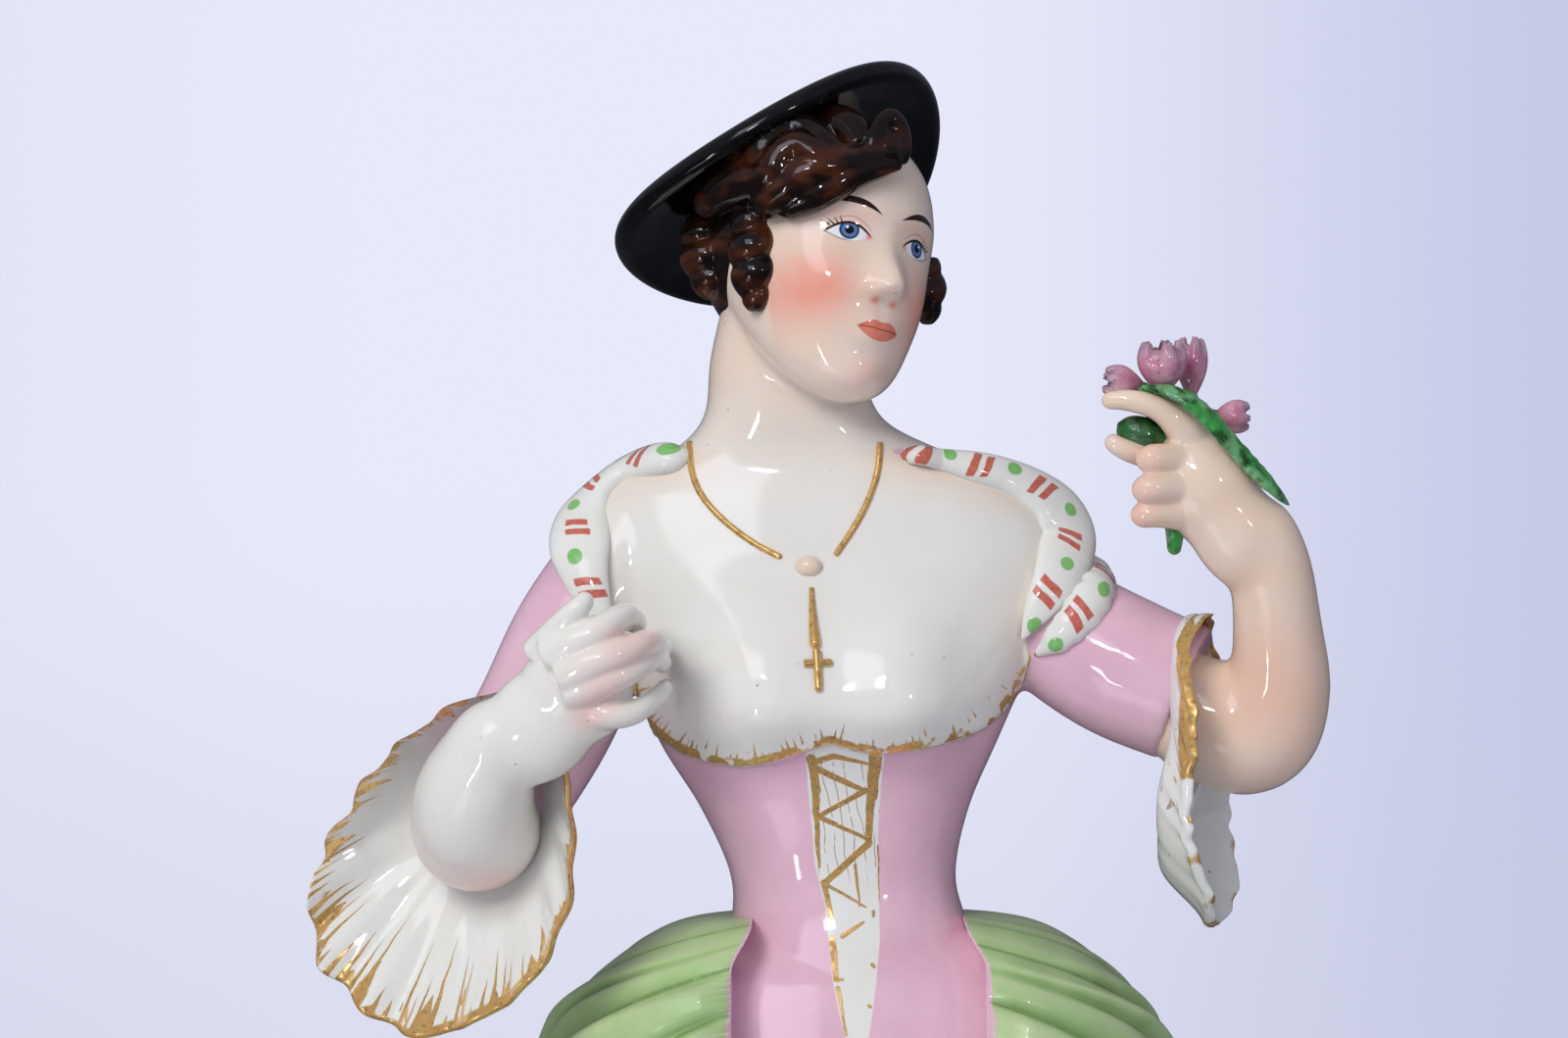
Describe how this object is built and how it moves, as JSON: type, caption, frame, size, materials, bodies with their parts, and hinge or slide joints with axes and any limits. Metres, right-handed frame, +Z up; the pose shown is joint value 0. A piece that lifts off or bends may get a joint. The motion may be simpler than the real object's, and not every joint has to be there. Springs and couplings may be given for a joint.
{
  "type": "porcelain lady figurine",
  "caption": "Standing glazed porcelain lady in a tipped brimmed hat, rolled collar, bell cuffs and a wide pleated skirt, a posy in her raised hand",
  "frame": {"origin": "under the middle of the oval base, on the plane it stands on", "axes": "+Z up along her height, -Y the way she faces, +X to her left"},
  "size_m": [0.14, 0.12, 0.2802],
  "materials": {
    "glazed_porcelain": "glossy clear glaze over hand-painted enamel and gilding"
  },
  "bodies": {
    "root": {"figurine": "glazed_porcelain"}
  },
  "joints": []
}
